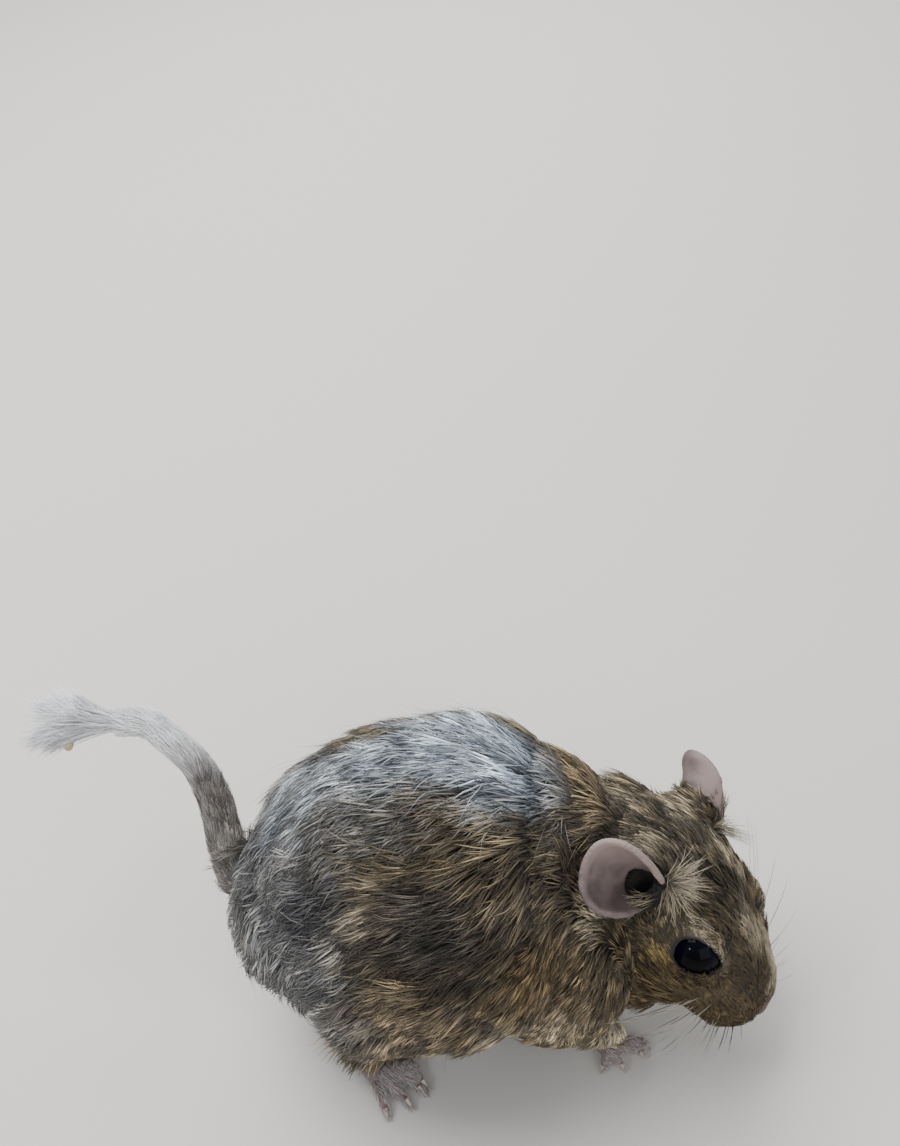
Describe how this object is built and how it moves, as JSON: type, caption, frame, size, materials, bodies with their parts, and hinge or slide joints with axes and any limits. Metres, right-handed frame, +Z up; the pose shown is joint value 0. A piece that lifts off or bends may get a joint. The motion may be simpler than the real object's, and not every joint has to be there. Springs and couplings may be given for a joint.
{
  "type": "degu",
  "caption": "Life-size still model of a young degu, crouching with its head lowered and turned to its right and its tail raised.",
  "frame": {"origin": "on the floor, under the middle of the box round the whole animal", "axes": "+X forwards along the body, +Y to the animal's left, +Z up"},
  "size_m": [0.1332, 0.0734, 0.0705],
  "materials": {
    "coat": "short agouti fur, brown-grey with buff and black flecks, silvery over the back",
    "foot": "short pale grey fur over grey-pink toes with light claws",
    "ear": "thin, nearly bare skin, pinkish grey-brown",
    "eye": "wet, glossy near-black",
    "tail_coat": "thin short grey-brown hair over ringed skin",
    "white_hair": "soft white hair, loose in the tuft",
    "bare_skin": "dry yellowish bare skin"
  },
  "bodies": {
    "root": {"head": "coat", "neck": "coat", "torso": "coat", "foreleg_right": "coat", "foreleg_left": "coat", "hindleg_right": "coat", "hindleg_left": "coat", "forefoot_right": "foot", "forefoot_left": "foot", "hindfoot_right": "foot", "hindfoot_left": "foot", "ear_right": "ear", "ear_left": "ear", "eye_right": "eye", "eye_left": "eye", "tail_base": "tail_coat", "tail_middle": "white_hair", "tail_tip": "white_hair", "tail_stump": "bare_skin"}
  },
  "joints": []
}
